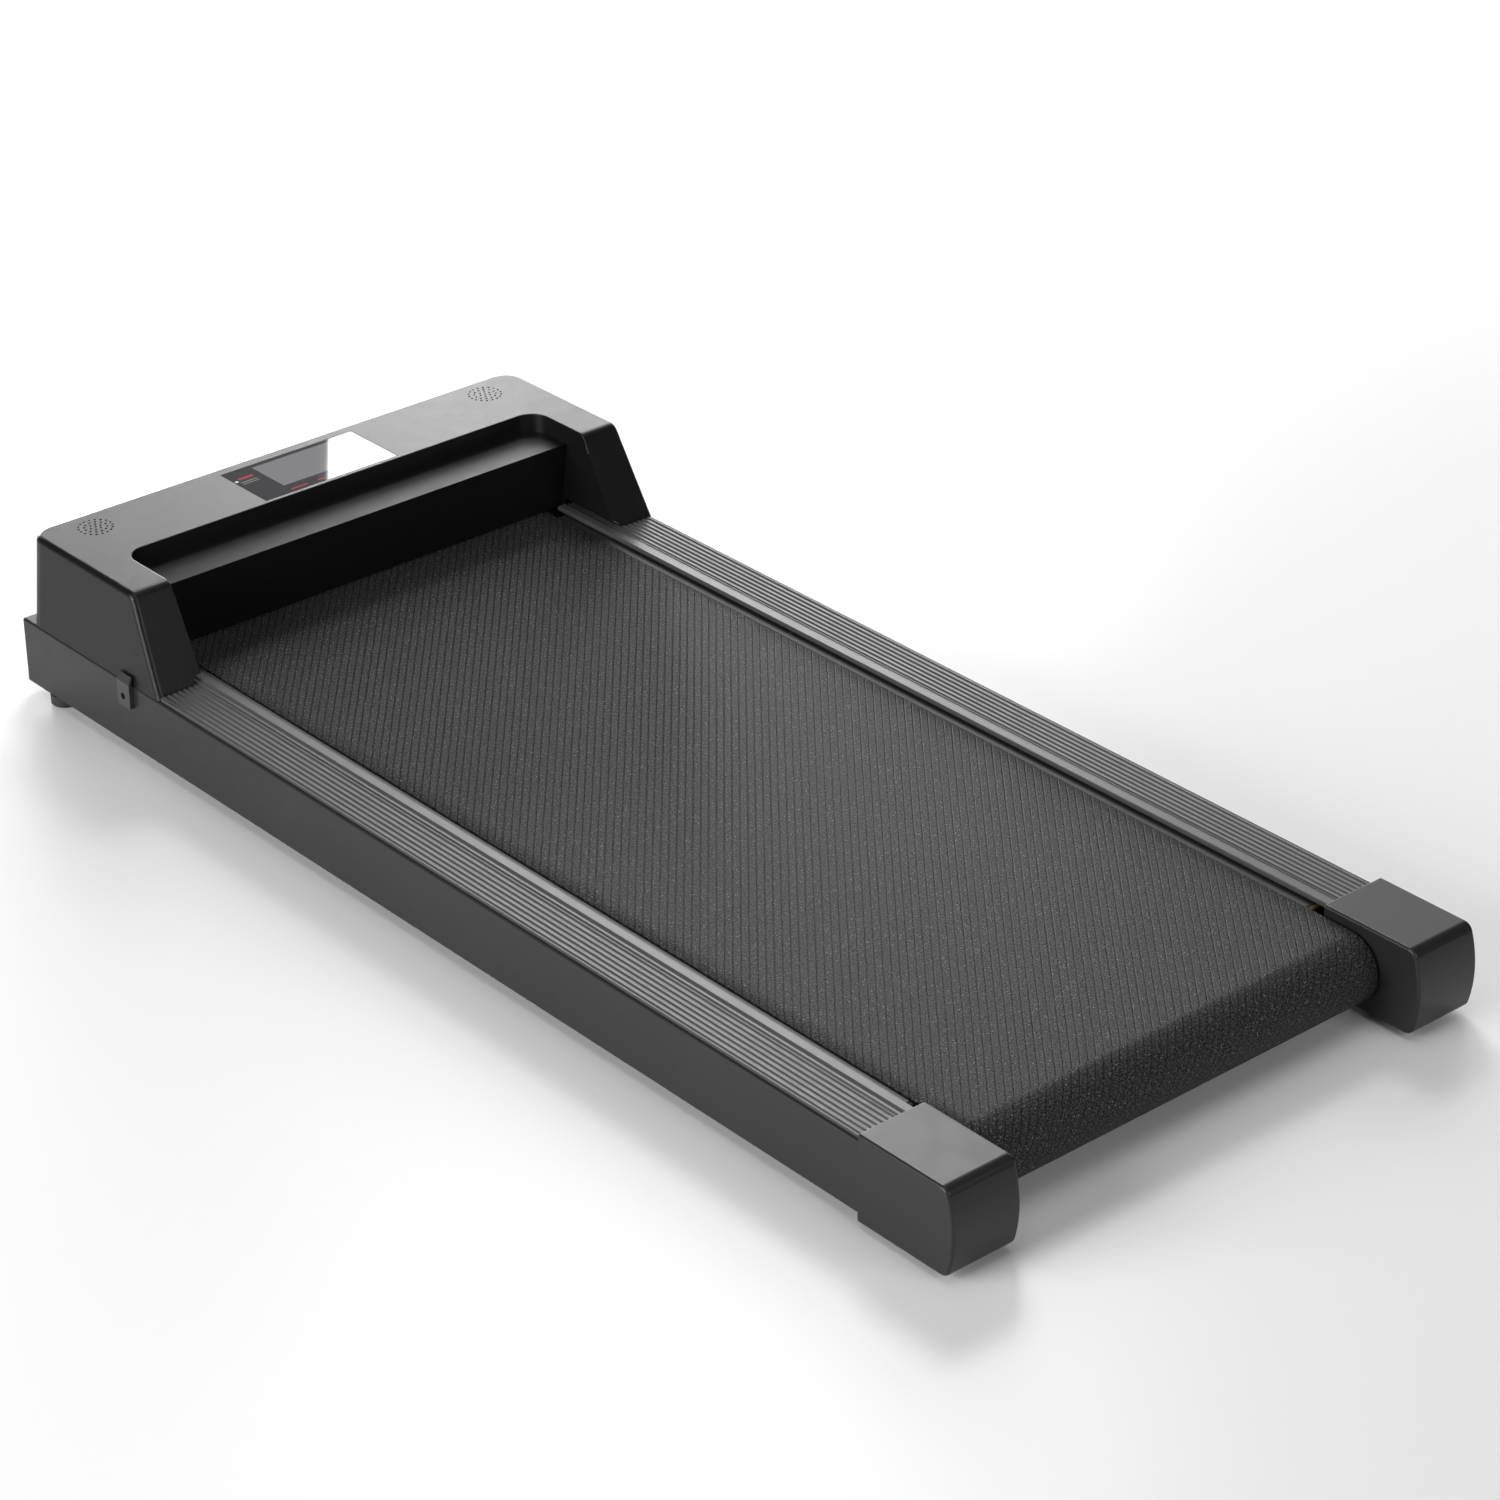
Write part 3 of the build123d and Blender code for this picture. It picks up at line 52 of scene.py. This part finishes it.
# ---------------------------------------------------------------- node helpers
class Shader:
    """A Principled material and short calls that add procedural nodes to it."""

    def __init__(self, name, base=(0.1, 0.1, 0.1), rough=0.5, metal=0.0, **sockets):
        self.mat = bpy.data.materials.new(name)
        self.mat.use_nodes = True
        self.tree = self.mat.node_tree
        self.tree.nodes.clear()
        self.out = self.add("ShaderNodeOutputMaterial")
        self.bsdf = self.add("ShaderNodeBsdfPrincipled")
        self.link(self.bsdf.outputs["BSDF"], self.out.inputs["Surface"])
        self.bsdf.inputs["Base Color"].default_value = (*base, 1)
        self.bsdf.inputs["Roughness"].default_value = rough
        self.bsdf.inputs["Metallic"].default_value = metal
        for socket, value in sockets.items():
            self.bsdf.inputs[socket.replace("_", " ")].default_value = value
        self.coords = self.add("ShaderNodeTexCoord").outputs["Object"]
        self.normal = None

    def add(self, kind, **values):
        node = self.tree.nodes.new(kind)
        for key, value in values.items():
            setattr(node, key, value)
        return node

    def link(self, a, b):
        self.tree.links.new(a, b)

    def scaled(self, vector, scale):
        node = self.add("ShaderNodeMapping")
        node.inputs["Scale"].default_value = scale
        self.link(vector, node.inputs["Vector"])
        return node.outputs["Vector"]

    def noise(self, scale, detail=2.0, rough=0.5, stretch=(1, 1, 1), vector=None):
        node = self.add("ShaderNodeTexNoise")
        self.link(self.scaled(vector or self.coords, stretch), node.inputs["Vector"])
        node.inputs["Scale"].default_value = scale
        node.inputs["Detail"].default_value = detail
        node.inputs["Roughness"].default_value = rough
        return node.outputs["Fac"]

    def cells(self, scale, vector=None):
        node = self.add("ShaderNodeTexVoronoi")
        self.link(vector or self.coords, node.inputs["Vector"])
        node.inputs["Scale"].default_value = scale
        return node.outputs

    def math(self, operation, a, b=0.0):
        node = self.add("ShaderNodeMath", operation=operation)
        for socket, value in zip(node.inputs, (a, b)):
            if isinstance(value, (int, float)):
                socket.default_value = value
            else:
                self.link(value, socket)
        return node.outputs[0]

    def remap(self, fac, low, high, out_low=0.0, out_high=1.0):
        node = self.add("ShaderNodeMapRange")
        self.link(fac, node.inputs["Value"])
        for socket, value in zip(("From Min", "From Max", "To Min", "To Max"),
                                 (low, high, out_low, out_high)):
            node.inputs[socket].default_value = value
        return node.outputs["Result"]

    def mix(self, fac, a, b):
        node = self.add("ShaderNodeMix", data_type="RGBA")
        for socket, value in ((node.inputs["Factor"], fac), (node.inputs["A"], a), (node.inputs["B"], b)):
            if isinstance(value, (int, float)):
                socket.default_value = value
            elif isinstance(value, tuple):
                socket.default_value = (*value, 1)
            else:
                self.link(value, socket)
        return node.outputs["Result"]

    def split(self, vector):
        node = self.add("ShaderNodeSeparateXYZ")
        self.link(vector, node.inputs[0])
        return node.outputs

    def join(self, x, y, z=0.0):
        node = self.add("ShaderNodeCombineXYZ")
        for socket, value in zip(node.inputs, (x, y, z)):
            if isinstance(value, (int, float)):
                socket.default_value = value
            else:
                self.link(value, socket)
        return node.outputs[0]

    def colour(self, source):
        self.link(source, self.bsdf.inputs["Base Color"])

    def roughness(self, source):
        self.link(source, self.bsdf.inputs["Roughness"])

    def bump(self, height, distance, strength=1.0):
        node = self.add("ShaderNodeBump")
        node.inputs["Strength"].default_value = strength
        node.inputs["Distance"].default_value = distance
        self.link(height, node.inputs["Height"])
        if self.normal is not None:
            self.link(self.normal, node.inputs["Normal"])
        self.normal = node.outputs["Normal"]
        self.link(self.normal, self.bsdf.inputs["Normal"])


def tint(base, factor):
    return tuple(min(1.0, c * factor) for c in base)


def satin(name, base, rough, grain=1700.0, grain_depth=0.00003, **sockets):
    """Moulded plastic or powder coat: fine grain, faint tone and gloss variation."""
    s = Shader(name, base, rough, **sockets)
    broad = s.noise(9.0, 3.0)
    fine = s.noise(grain, 2.0, 0.6)
    tone = s.mix(s.remap(broad, 0.3, 0.7), tint(base, 0.93), tint(base, 1.07))
    s.colour(s.mix(s.remap(fine, 0.35, 0.75, 0.0, 0.35), tone, tint(base, 1.5)))
    s.roughness(s.remap(s.noise(60.0, 3.0), 0.3, 0.7, rough - 0.03, rough + 0.03))
    s.bump(fine, grain_depth)
    return s


def metal(name, base, rough, lines=900.0, depth=0.00001):
    """Ground or plated metal with fine tool lines and slight dulling."""
    s = Shader(name, base, rough, 1.0)
    line = s.noise(lines, 3.0, 0.6)
    cloud = s.noise(40.0, 4.0)
    s.colour(s.mix(s.remap(cloud, 0.35, 0.7), tint(base, 0.86), tint(base, 1.05)))
    s.roughness(s.remap(line, 0.3, 0.7, rough - 0.06, rough + 0.08))
    s.bump(line, depth)
    return s


# ---------------------------------------------------------------- materials
PAD_PITCH_ACROSS = 0.0080
PAD_PITCH_ALONG = 0.00948


def belt_material():
    """Embossed non-slip belt: diamond pads between grooves, light flecks, dull sheen, and painted shade
    darkening the grooves.
    """
    s = Shader("belt_surface", (0.03, 0.03, 0.03), 0.60, Specular_IOR_Level=0.17)
    uv = s.add("ShaderNodeUVMap", uv_map="length_and_width").outputs["UV"]
    u, v, _ = s.split(uv)
    a = s.math("MULTIPLY", u, 1 / PAD_PITCH_ACROSS)
    b = s.math("MULTIPLY", v, 1 / PAD_PITCH_ALONG)
    flat = s.join(u, v)
    wobble = s.math("MULTIPLY", s.math("SUBTRACT", s.noise(420.0, 1.0, vector=flat), 0.5), 0.16)

    def groove(axis, width):
        phase = s.math("ADD", axis, wobble)
        saw = s.math("ABSOLUTE", s.math("SUBTRACT", s.math("FRACT", phase), 0.5))
        return s.remap(saw, 0.5 - width, 0.5, 0.0, 1.0)

    # groove masks: they shape the bump, and they also carry the painted shade mixed into the colour below
    deep = groove(s.math("SUBTRACT", a, b), 0.13)
    shallow = groove(s.math("ADD", a, b), 0.09)
    grooves = s.math("MAXIMUM", deep, s.math("MULTIPLY", shallow, 0.6))
    weave = s.noise(640.0, 2.0, 0.65, vector=flat)
    fine = s.noise(1500.0, 1.0, vector=flat)
    texture = s.math("ADD", s.math("MULTIPLY", weave, 0.62), s.math("MULTIPLY", fine, 0.38))
    grain = s.remap(texture, 0.43, 0.59)
    ground = s.mix(grain, (0.0012, 0.0012, 0.0012), (0.084, 0.084, 0.0855))
    chips = s.cells(520.0, flat)
    rare = s.remap(s.split(chips["Color"])[0], 0.80, 0.84)
    fleck = s.math("MULTIPLY", s.remap(chips["Distance"], 0.30, 0.18), rare)
    ground = s.mix(fleck, ground, (0.26, 0.26, 0.265))
    # painted shade: the groove mask darkens the belt colour towards near black, more along the deep
    # family than the shallow one
    s.colour(s.mix(s.math("MULTIPLY", grooves, 0.72), ground, (0.002, 0.002, 0.002)))
    height = s.math("SUBTRACT", s.math("MULTIPLY", weave, 0.7), s.math("MULTIPLY", grooves, 0.8))
    s.bump(height, 0.0007, 0.9)
    return s


belt_surface = belt_material()


def deck_material():
    """Board with a dark woven slip film on top and bare fibre at the sides."""
    s = Shader("deck_film", (0.03, 0.03, 0.03), 0.45)
    weave = s.noise(1100.0, 3.0, 0.7)
    top = s.mix(s.remap(weave, 0.4, 0.75), (0.012, 0.012, 0.012), (0.06, 0.06, 0.061))
    z = s.split(s.coords)[2]
    side = s.mix(s.noise(260.0, 4.0, 0.6, (1, 1, 6)), (0.16, 0.10, 0.055), (0.30, 0.20, 0.12))
    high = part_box("running_deck")[1]
    s.colour(s.mix(s.remap(z, high.z - 0.0012, high.z - 0.0008), side, top))
    s.bump(weave, 0.0002, 0.6)
    return s


def ring_tool_metal(name, base, rough, centre):
    """Turned metal whose tool marks run round the X axis through centre."""
    s = Shader(name, base, rough, 1.0)
    x, y, z = s.split(s.coords)
    radius = s.math("SQRT", s.math("ADD", s.math("POWER", s.math("SUBTRACT", y, centre[0]), 2.0),
                                  s.math("POWER", s.math("SUBTRACT", z, centre[1]), 2.0)))
    line = s.noise(2600.0, 3.0, 0.7, vector=s.join(x, radius))
    cloud = s.noise(60.0, 4.0)
    s.colour(s.mix(s.remap(cloud, 0.35, 0.7), tint(base, 0.84), tint(base, 1.05)))
    s.roughness(s.remap(line, 0.3, 0.7, rough - 0.07, rough + 0.09))
    s.bump(line, 0.00002)
    return s


def rubber(name, base, rough=0.72):
    """Dull porous rubber or sleeve with a little dust."""
    s = Shader(name, base, rough)
    pores = s.noise(900.0, 3.0, 0.7)
    dust = s.noise(35.0, 4.0)
    s.colour(s.mix(s.remap(dust, 0.45, 0.8), base, tint(base, 1.8)))
    s.roughness(s.remap(pores, 0.3, 0.7, rough - 0.08, rough + 0.06))
    s.bump(pores, 0.00008)
    return s


def board_material():
    """Green circuit board: darker solder mask over copper lines, with bright pads."""
    s = Shader("circuit_board", (0.01, 0.09, 0.04), 0.35)
    y = s.split(s.coords)[1]
    jog = s.math("MULTIPLY", s.math("ROUND", s.math("MULTIPLY", s.noise(90.0, 0.0), 6.0)), 0.0011)
    tracks = s.math("FRACT", s.math("MULTIPLY", s.math("ADD", y, jog), 420.0))
    track = s.remap(s.math("ABSOLUTE", s.math("SUBTRACT", tracks, 0.5)), 0.2, 0.26)
    pads = s.remap(s.cells(230.0)["Distance"], 0.16, 0.10)
    green = s.mix(track, (0.012, 0.10, 0.045), (0.03, 0.19, 0.08))
    s.colour(s.mix(pads, green, (0.72, 0.70, 0.62)))
    s.bump(track, 0.00004)
    return s


def glass_material():
    """Flush black display cover with the panel and a few plain marks behind it."""
    s = Shader("display_cover", (0.004, 0.004, 0.005), 0.035, Coat_Weight=1.0, Coat_Roughness=0.02,
               Specular_IOR_Level=0.6)
    x, y, _ = s.split(s.coords)

    soft = 0.0003

    def between(axis, start, end):
        return s.math("MULTIPLY", s.remap(axis, start - soft, start + soft),
                      s.remap(axis, end + soft, end - soft))

    def window(x0, x1, y0, y1):
        return s.math("MULTIPLY", between(x, x0, x1), between(y, y0, y1))

    low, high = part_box("display_glass")
    panel = window(low.x + 0.0292, high.x - 0.006, low.y + 0.0155, high.y - 0.0050)
    speck = s.noise(2600.0, 1.0)
    lit = s.mix(s.remap(speck, 0.3, 0.7), (0.200, 0.205, 0.212), (0.255, 0.258, 0.268))
    field = s.mix(panel, (0.0045, 0.0045, 0.005), lit)
    red = window(low.x + 0.0065, low.x + 0.0215, high.y - 0.0195, high.y - 0.0155)
    for start, end in ((0.030, 0.047), (0.058, 0.066), (0.082, 0.090)):
        bar = window(low.x + start, low.x + end, low.y + 0.0045, low.y + 0.0068)
        red = s.math("MAXIMUM", red, bar)
    field = s.mix(red, field, (0.42, 0.035, 0.045))
    upper, lower = (window(low.x + 0.0045, low.x + 0.021, high.y - start, high.y - end)
                    for start, end in ((0.0252, 0.0238), (0.0287, 0.0275)))
    grey = s.math("MAXIMUM", upper, lower)
    field = s.mix(grey, field, (0.30, 0.30, 0.29))
    dot = s.math("SQRT", s.math("ADD", s.math("POWER", s.math("SUBTRACT", x, low.x + 0.0028), 2.0),
                               s.math("POWER", s.math("SUBTRACT", y, high.y - 0.0205), 2.0)))
    s.colour(s.mix(s.remap(dot, 0.0019, 0.0015), field, (0.95, 0.95, 0.95)))
    s.bump(s.noise(30.0, 1.0), 0.00001)
    return s


materials = {
    "frame_paint": satin("frame_paint", (0.022, 0.022, 0.0225), 0.36, grain=900.0,
                         grain_depth=0.00004, Specular_IOR_Level=0.34),
    "rail_plastic": satin("rail_plastic", (0.070, 0.070, 0.071), 0.33, grain=1500.0,
                          Specular_IOR_Level=0.45),
    "cap_plastic": satin("cap_plastic", (0.020, 0.020, 0.0205), 0.31, grain=1900.0,
                         grain_depth=0.00002, Specular_IOR_Level=0.36),
    "hood_plastic": satin("hood_plastic", (0.007, 0.007, 0.0069), 0.35, grain=1400.0,
                          grain_depth=0.00006, Specular_IOR_Level=0.30),
    "belt_rubber": belt_surface,
    "deck_board": deck_material(),
    "cushion_rubber": rubber("cushion_rubber", (0.020, 0.020, 0.020)),
    "foot_rubber": rubber("foot_rubber", (0.028, 0.028, 0.029)),
    "zinc_screws": metal("zinc_screws", (0.62, 0.62, 0.60), 0.30),
    "clip_plastic": satin("clip_plastic", (0.034, 0.034, 0.035), 0.34, grain=1100.0),
    "hub_plastic": satin("hub_plastic", (0.030, 0.030, 0.031), 0.45),
    "drive_rubber": rubber("drive_rubber", (0.014, 0.014, 0.015), 0.6),
    "motor_paint": satin("motor_paint", (0.015, 0.015, 0.016), 0.22, grain=500.0),
    "bell_alloy": metal("bell_alloy", (0.55, 0.56, 0.57), 0.42, lines=700.0, depth=0.00005),
    "circuit_board": board_material(),
    "capacitor_sleeve": satin("capacitor_sleeve", (0.012, 0.016, 0.035), 0.28),
    "wire_jacket": rubber("wire_jacket", (0.016, 0.016, 0.017), 0.5),
    "display_lens": glass_material(),
    "display_panel": satin("display_panel", (0.07, 0.08, 0.075), 0.2, grain=3000.0),
    "inner_plastic": satin("inner_plastic", (0.018, 0.018, 0.018), 0.5),
    # near-black cone: a black cone, made darker than its own black as painted shade so the grille holes
    # read dark
    "speaker_cone": rubber("speaker_cone", (0.003, 0.003, 0.003), 0.9),
    "fitting_plastic": satin("fitting_plastic", (0.016, 0.016, 0.016), 0.36),
    "rocker_plastic": satin("rocker_plastic", (0.42, 0.014, 0.012), 0.24),
    "button_plastic": satin("button_plastic", (0.02, 0.02, 0.02), 0.35),
    "pin_brass": metal("pin_brass", (0.78, 0.62, 0.30), 0.24, lines=1500.0),
}
# y and z of each turning line
FRONT_AXIS = (0.477, 0.041)
REAR_AXIS = (-0.5145, 0.041)
MOTOR_AXIS = (0.529, 0.092)
STEEL = (0.56, 0.57, 0.58)
ALLOY = (0.66, 0.67, 0.68)
turned = {
    "front_roller_tube": ring_tool_metal("front_tube", STEEL, 0.30, FRONT_AXIS),
    "front_roller_shaft": ring_tool_metal("front_shaft", STEEL, 0.22, FRONT_AXIS),
    "front_roller_bearings": ring_tool_metal("front_bearing", STEEL, 0.18, FRONT_AXIS),
    "front_roller_pulley": ring_tool_metal("front_pulley", ALLOY, 0.30, FRONT_AXIS),
    "rear_roller_tube": ring_tool_metal("rear_tube", STEEL, 0.30, REAR_AXIS),
    "rear_roller_shaft": ring_tool_metal("rear_shaft", STEEL, 0.22, REAR_AXIS),
    "rear_roller_bearings": ring_tool_metal("rear_bearing", STEEL, 0.18, REAR_AXIS),
    "motor_shaft": ring_tool_metal("motor_shaft", STEEL, 0.20, MOTOR_AXIS),
    "motor_pulley": ring_tool_metal("motor_pulley", ALLOY, 0.28, MOTOR_AXIS),
}

for entry in frame["record"]["subparts"]:
    node = frame["nodes"][entry["node"]]
    chosen = turned.get(entry["node"]) or materials[entry["material_slot"]]
    node.data.materials.clear()
    node.data.materials.append(chosen.mat)


# ---------------------------------------------------------------- running belt
BELT_THICK = 0.0016
BELT_EASE = 0.00035
BELT_UNDER_INSET = 0.001
ACROSS_STEPS, FLAT_STEPS, ARC_STEPS = 24, 60, 40


def running_belt():
    """The belt as one swept loop with eased edges, its UV map in metres along and across."""
    low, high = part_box("running_belt")
    half = high.x
    radius = (high.z - low.z) / 2
    centre_z = (high.z + low.z) / 2
    front, rear = high.y - radius, low.y + radius
    inset, low_edge, top_half = half - BELT_UNDER_INSET, BELT_EASE - BELT_THICK, half - BELT_EASE
    section = [(-inset, -BELT_THICK), (-half, low_edge), (-half, -BELT_EASE)]
    for i in range(ACROSS_STEPS + 1):
        section.append((top_half * (2 * i / ACROSS_STEPS - 1), 0.0))
    section += [(half, -BELT_EASE), (half, low_edge), (inset, -BELT_THICK)]
    path = []
    length = front - rear
    half_turn = math.pi * radius
    for i in range(FLAT_STEPS):
        path.append((rear + length * i / FLAT_STEPS, 90.0, length * i / FLAT_STEPS))
    for i in range(ARC_STEPS):
        turn = i / ARC_STEPS
        path.append((front, 90.0 - 180.0 * turn, length + half_turn * turn))
    for i in range(FLAT_STEPS):
        path.append((front - length * i / FLAT_STEPS, -90.0,
                     length + half_turn + length * i / FLAT_STEPS))
    for i in range(ARC_STEPS):
        turn = i / ARC_STEPS
        path.append((rear, -90.0 - 180.0 * turn, 2 * length + half_turn * (1 + turn)))
    total = 2 * (length + half_turn)
    mesh = bmesh.new()
    rings = []
    for y, degrees, travelled in path:
        angle = math.radians(degrees)
        ring = [mesh.verts.new((x, y + math.cos(angle) * (radius + depth),
                                centre_z + math.sin(angle) * (radius + depth)))
                for x, depth in section]
        rings.append((ring, travelled))
    layer = mesh.loops.layers.uv.new("length_and_width")
    count = len(section)
    for i, (ring, travelled) in enumerate(rings):
        after, after_travelled = rings[(i + 1) % len(rings)]
        if i == len(rings) - 1:
            after_travelled = total
        for j in range(count):
            k = (j + 1) % count
            face = mesh.faces.new((ring[j], ring[k], after[k], after[j]))
            face.smooth = True
            values = ((ring[j], travelled), (ring[k], travelled), (after[k], after_travelled),
                      (after[j], after_travelled))
            for loop, (vertex, along) in zip(face.loops, values):
                loop[layer].uv = (vertex.co.x, along)
    bmesh.ops.recalc_face_normals(mesh, faces=mesh.faces)
    data = bpy.data.meshes.new("running_belt_surface")
    mesh.to_mesh(data)
    mesh.free()
    belt = bpy.data.objects.new("running_belt_surface", data)
    bpy.context.collection.objects.link(belt)
    data.materials.append(belt_surface.mat)
    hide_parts("running_belt")
    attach(belt, ROOT)


running_belt()


# ---------------------------------------------------------------- camera
camera_data = bpy.data.cameras.new("camera")
camera = bpy.data.objects.new("camera", camera_data)
bpy.context.collection.objects.link(camera)
camera_data.sensor_width = 36.0
camera_data.lens = 105.71
right = Vector((0.7596441, -0.6502824, -0.0085819))
down = Vector((-0.3167815, -0.3584674, -0.8781518))
ahead = Vector((0.5679703, 0.6698014, -0.4783051))
camera.matrix_world = Matrix.Translation((-1.95214, -2.36485, 1.75423)) @ Matrix(
    (right, -down, -ahead)).transposed().to_4x4()
camera_data.clip_start = 0.1
camera_data.clip_end = 60.0
bpy.context.scene.camera = camera

# ---------------------------------------------------------------- floor and lights
FLOOR_REACH = 5.0
floor_mesh = bpy.data.meshes.new("floor")
floor_mesh.from_pydata([(-FLOOR_REACH, -FLOOR_REACH, 0), (FLOOR_REACH, -FLOOR_REACH, 0),
                        (FLOOR_REACH, FLOOR_REACH, 0), (-FLOOR_REACH, FLOOR_REACH, 0)],
                       [], [(0, 1, 2, 3)])
floor = bpy.data.objects.new("floor", floor_mesh)
bpy.context.collection.objects.link(floor)
floor_paint = Shader("floor_paint", (0.93, 0.93, 0.93), 0.32, Specular_IOR_Level=0.35)
floor_mesh.materials.append(floor_paint.mat)


def softbox(name, at, look, width, height, power, shade=(1, 1, 1)):
    """A rectangular lamp at one point, facing another, unseen by the camera."""
    data = bpy.data.lights.new(name, "AREA")
    data.shape = "RECTANGLE"
    data.size, data.size_y = width, height
    data.energy = power
    data.color = shade
    lamp = bpy.data.objects.new(name, data)
    bpy.context.collection.objects.link(lamp)
    lamp.location = at
    lamp.visible_camera = False
    lamp.rotation_mode = "QUATERNION"
    lamp.rotation_quaternion = (Vector(at) - Vector(look)).to_track_quat("Z", "Y")


# low panels standing round the far side, facing the middle of the treadmill
WALL_REACH, WALL_MID, WALL_WIDTH, WALL_HEIGHT = 3.6, 0.36, 1.9, 0.66
for panel_name, (dx, dy), watts in (("wall_back", (0.35, 0.94), 116.0),
                                    ("wall_corner", (0.647, 0.763), 12.0),
                                    ("wall_right", (0.86, 0.51), 17.0)):
    softbox(panel_name, (dx * WALL_REACH, dy * WALL_REACH, WALL_MID), (0.0, 0.0, WALL_MID),
            WALL_WIDTH, WALL_HEIGHT, watts)

VIOLET_WHITE = (0.95, 0.92, 1.0)
softbox("key", (2.45, 2.94, 1.7), (0.1, 0.5, 0.1), 1.3, 1.6, 34.0)
softbox("key_high", (1.9, 2.3, 3.1), (0.1, 0.0, 0.1), 1.3, 1.0, 46.0)
softbox("key_edge", (1.42, 3.02, 1.6), (0.05, 0.5, 0.1), 0.56, 1.4, 0.7, VIOLET_WHITE)
softbox("key_fade", (0.84, 3.1, 1.6), (0.0, 0.5, 0.1), 0.60, 1.4, 0.16, VIOLET_WHITE)
softbox("overhead", (-0.3, -0.6, 3.2), (0.0, -0.2, 0.0), 2.6, 2.6, 24.0)
softbox("far_right", (3.6, 1.8, 2.2), (0.1, -0.3, 0.1), 1.4, 1.4, 11.0)
softbox("left", (-3.2, 0.3, 1.2), (0.0, 0.0, 0.0), 2.4, 1.6, 100.0)
softbox("front", (0.3, -3.6, 2.0), (0.0, 0.0, 0.0), 2.4, 1.6, 36.0)

# a white backdrop for the camera that adds little light of its own
AMBIENT_STRENGTH = 0.03
world = bpy.data.worlds.new("world")
bpy.context.scene.world = world
world.use_nodes = True
world_nodes, world_links = world.node_tree.nodes, world.node_tree.links
backdrop = world_nodes["Background"]
backdrop.inputs["Color"].default_value = (1, 1, 1, 1)
seen = world_nodes.new("ShaderNodeLightPath")
shine = world_nodes.new("ShaderNodeMapRange")
shine.inputs["To Min"].default_value = AMBIENT_STRENGTH
shine.inputs["To Max"].default_value = 1.0
world_links.new(seen.outputs["Is Camera Ray"], shine.inputs["Value"])
world_links.new(shine.outputs["Result"], backdrop.inputs["Strength"])
bpy.context.scene.view_settings.view_transform = "Standard"
